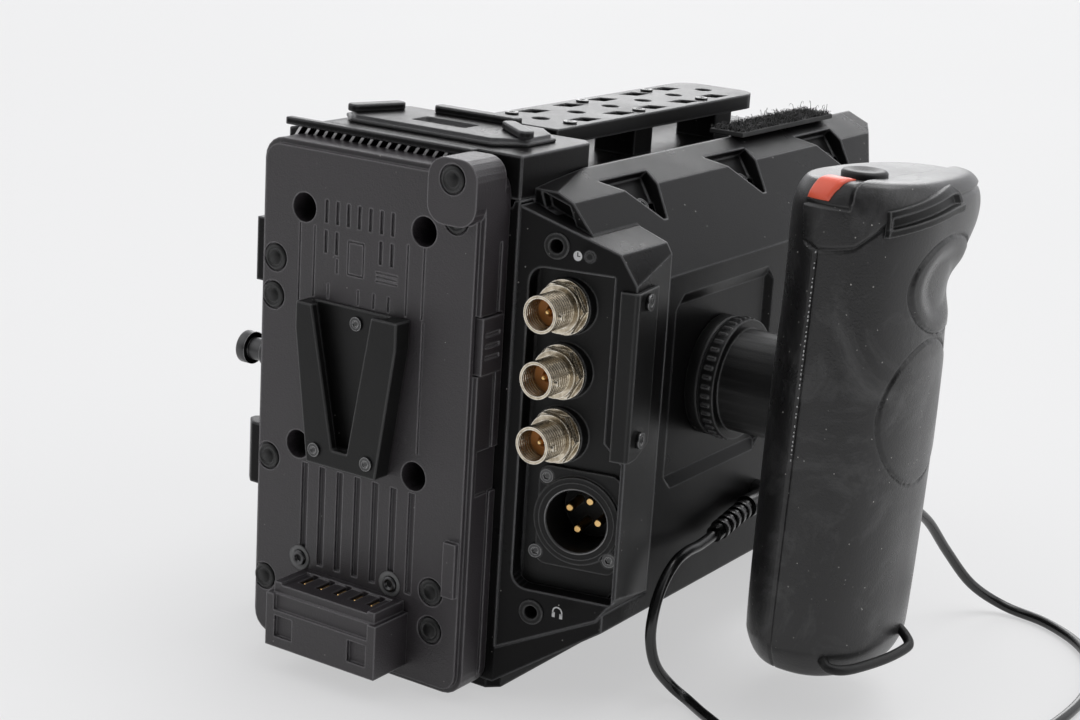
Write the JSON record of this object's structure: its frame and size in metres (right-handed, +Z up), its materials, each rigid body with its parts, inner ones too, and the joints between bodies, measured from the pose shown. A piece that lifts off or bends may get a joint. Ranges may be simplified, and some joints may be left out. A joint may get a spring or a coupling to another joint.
{
  "type": "digital cinema camera",
  "caption": "Digital cinema camera body with a battery plate, connector block, top rail, fold-out monitor and a side grip on a toothed disc.",
  "frame": {"origin": "mouth of the main tripod hole on the underside, in the plane that the camera stands on", "axes": "+Y is where the lens looks, +X is the side of the grip, +Z is up"},
  "size_m": [0.2219, 0.217, 0.1494],
  "materials": {
    "black_paint": "satin black powder coat, fine texture",
    "black_plastic": "matte black moulded plastic",
    "grey_plastic": "matte charcoal moulded plastic",
    "grip_skin": "soft-touch black skin",
    "red_button": "red moulded button",
    "nickel": "bright nickel plate",
    "steel": "dark steel screws",
    "gold": "gold-plated contacts",
    "insulator": "tan insulator",
    "board": "green circuit board",
    "aluminium": "bare aluminium",
    "dark_glass": "dark coated glass",
    "cable_rubber": "black cable rubber",
    "hook_fabric": "black hook-and-loop fabric"
  },
  "bodies": {
    "root": {"chassis": "black_paint", "left_cover": "black_paint", "front_plate": "black_paint", "mount_ring": "nickel", "mount_screws": "steel", "throat_tube": "black_plastic", "sensor_block": "aluminium", "sensor_glass": "dark_glass", "main_board": "board", "heat_sink": "aluminium", "fan_frame": "black_plastic", "card_cage": "steel", "rear_deck": "black_paint", "deck_trim": "black_plastic", "deck_bars": "black_plastic", "top_rail": "black_paint", "rail_screws": "steel", "shoulder_screws": "steel", "cable_strip": "hook_fabric", "base_plate": "black_paint", "base_screws": "steel", "connector_block": "black_paint", "connector_panel": "black_plastic", "label_cover": "black_plastic", "label_screws": "steel", "bnc_shells": "nickel", "bnc_nuts": "nickel", "bnc_cores": "insulator", "bnc_pins": "gold", "xlr_shell": "black_plastic", "xlr_core": "black_plastic", "xlr_pins": "gold", "panel_screws": "steel", "jack_bushes": "black_plastic", "battery_plate": "grey_plastic", "vee_lock": "black_plastic", "vee_screws": "steel", "contact_block": "grey_plastic", "contact_blades": "gold", "plate_plugs": "black_plastic", "vent_comb": "grey_plastic", "left_stud": "steel", "left_guard": "black_paint", "rosette_disc": "black_plastic", "grip_bolt": "steel", "door_hinge": "black_paint", "lead_plug": "cable_rubber", "grip_lead": "cable_rubber"},
    "fan": {"fan_rotor": "black_plastic"},
    "lens_button": {"lens_release": "steel"},
    "battery_key": {"battery_button": "grey_plastic"},
    "monitor": {"monitor_door": "black_paint", "monitor_glass": "dark_glass"},
    "grip": {"grip_disc": "black_plastic", "grip_inner": "grip_skin", "grip_outer": "grip_skin", "grip_cap": "grip_skin", "grip_badge": "grip_skin"},
    "record_key": {"record_button": "red_button"},
    "rocker": {"zoom_rocker": "grip_skin"}
  },
  "joints": [
    {"name": "fan_spin", "type": "hinge", "parent": "root", "child": "fan", "pos_m": [-0.005, -0.048, 0.036], "axis": [0, 0, 1], "continuous": true},
    {"name": "lens_release_press", "type": "slide", "parent": "root", "child": "lens_button", "axis": [0, -1, 0], "range_m": [0, 0.002], "stiffness_N_per_m": 500},
    {"name": "battery_release_press", "type": "slide", "parent": "root", "child": "battery_key", "axis": [-1, 0, 0], "range_m": [0, 0.002], "stiffness_N_per_m": 500},
    {"name": "monitor_hinge", "type": "hinge", "parent": "root", "child": "monitor", "pos_m": [-0.0596, 0.06, 0.07], "axis": [0, 0, -1], "range_deg": [0, 90]},
    {"name": "grip_hinge", "type": "hinge", "parent": "root", "child": "grip", "pos_m": [0.07, -0.024, 0.083], "axis": [1, 0, 0], "range_deg": [-45, 60], "deforming": ["grip_lead"]},
    {"name": "record_press", "type": "slide", "parent": "grip", "child": "record_key", "axis": [0, -0.0523, -0.9986], "range_m": [0, 0.0012], "stiffness_N_per_m": 500},
    {"name": "zoom_rock", "type": "hinge", "parent": "grip", "child": "rocker", "pos_m": [0.095, -0.0271, 0.13844], "axis": [1, 0, 0], "range_deg": [-8, 8], "stiffness_Nm_per_rad": 0.05}
  ]
}
